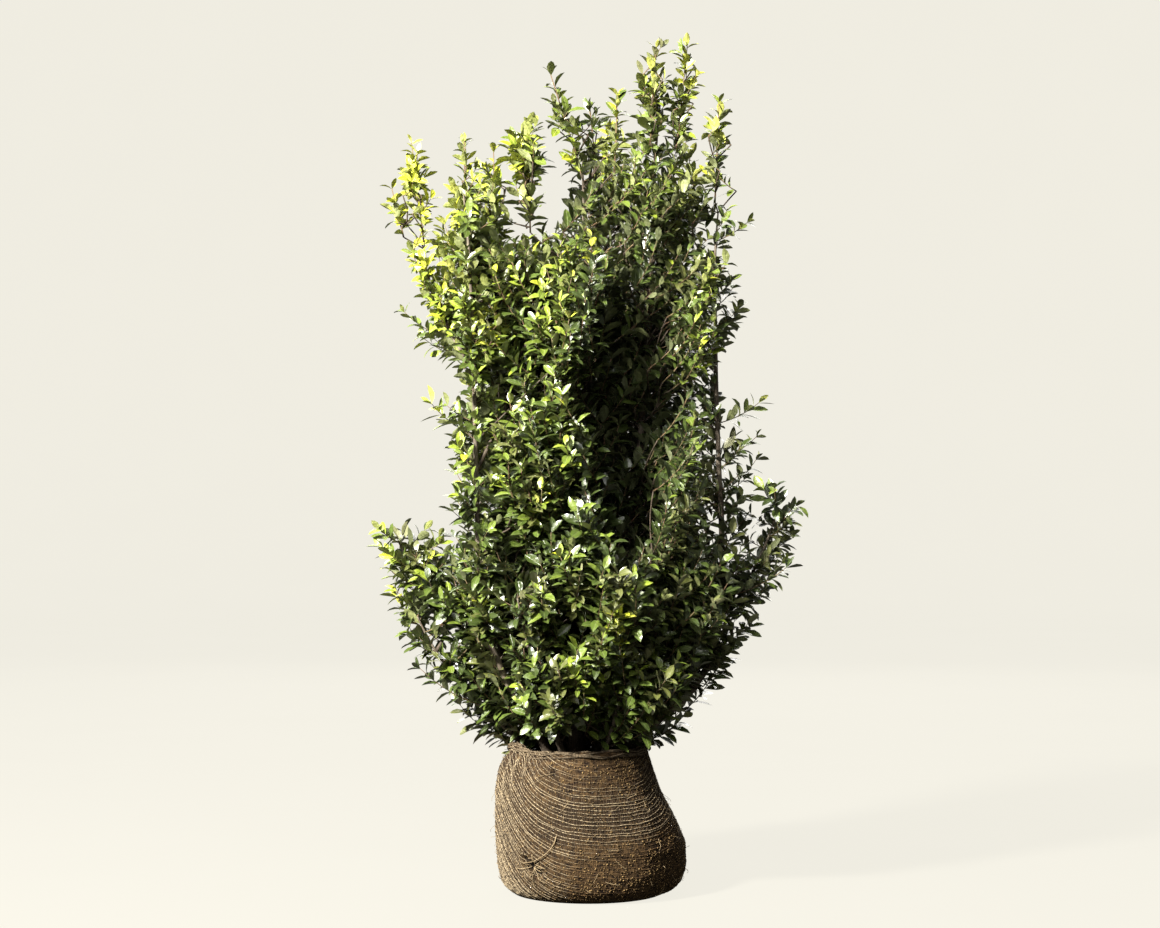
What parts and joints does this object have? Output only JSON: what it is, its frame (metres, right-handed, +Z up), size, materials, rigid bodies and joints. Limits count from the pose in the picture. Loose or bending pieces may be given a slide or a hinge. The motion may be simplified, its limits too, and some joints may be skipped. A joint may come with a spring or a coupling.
{
  "type": "evergreen shrub with root ball",
  "caption": "Upright multi-stemmed evergreen hedging shrub, leafy to the base, standing on a jute-wrapped root ball.",
  "frame": {"origin": "middle of the flat underside of the root ball", "axes": "+Z up along the plant, +X to the right of the side seen from the front, +Y to the back"},
  "size_m": [0.6897, 0.5076, 1.38],
  "materials": {
    "jute": "coarse open jute weave, earth-stained, matt",
    "soil": "damp dark soil, matt and crumbly",
    "bark": "smooth grey-brown young bark with pale pores, matt",
    "leaf": "leathery dark green leaf, glossy above, duller below",
    "young_leaf": "soft yellow-green young leaf, satin"
  },
  "bodies": {
    "root": {"bough_low_left": "bark", "bough_low_right": "bark", "bough_upper_left": "bark", "bulge_back": "leaf", "bulge_left": "leaf", "crest_centre": "leaf", "crest_left": "leaf", "crest_right": "leaf", "lower_back": "leaf", "lower_back_right": "leaf", "lower_front": "leaf", "lower_front_right": "leaf", "lower_left": "leaf", "main_stem": "bark", "middle_back": "leaf", "middle_back_right": "leaf", "middle_front": "leaf", "middle_front_right": "leaf", "middle_left": "leaf", "root_ball": "jute", "shoot_left": "leaf", "side_middle_right": "leaf", "side_upper_right": "leaf", "skirt_back": "leaf", "skirt_back_right": "leaf", "skirt_front": "leaf", "skirt_front_right": "leaf", "skirt_left": "leaf", "spire_back": "young_leaf", "spire_back_left": "young_leaf", "spire_back_right": "young_leaf", "spire_centre": "young_leaf", "spire_centre_right": "young_leaf", "spire_far_left": "young_leaf", "spire_far_right": "young_leaf", "spire_left": "young_leaf", "spire_left_inner": "young_leaf", "spire_left_offset": "young_leaf", "spire_tall_left": "young_leaf", "spire_tall_right": "young_leaf", "spray_low_left": "leaf", "spread_back": "leaf", "spread_left": "leaf", "spread_right": "leaf", "stem_back_left": "bark", "stem_back_right": "bark", "stem_front": "bark", "stem_front_left": "bark", "stem_left": "bark", "stem_low_left": "bark", "stem_right": "bark", "stem_tall": "bark", "tuft_centre": "young_leaf", "tuft_left_centre": "young_leaf", "upper_back": "leaf", "upper_back_right": "leaf", "upper_front": "leaf", "upper_front_right": "leaf", "upper_left": "leaf"}
  },
  "joints": []
}
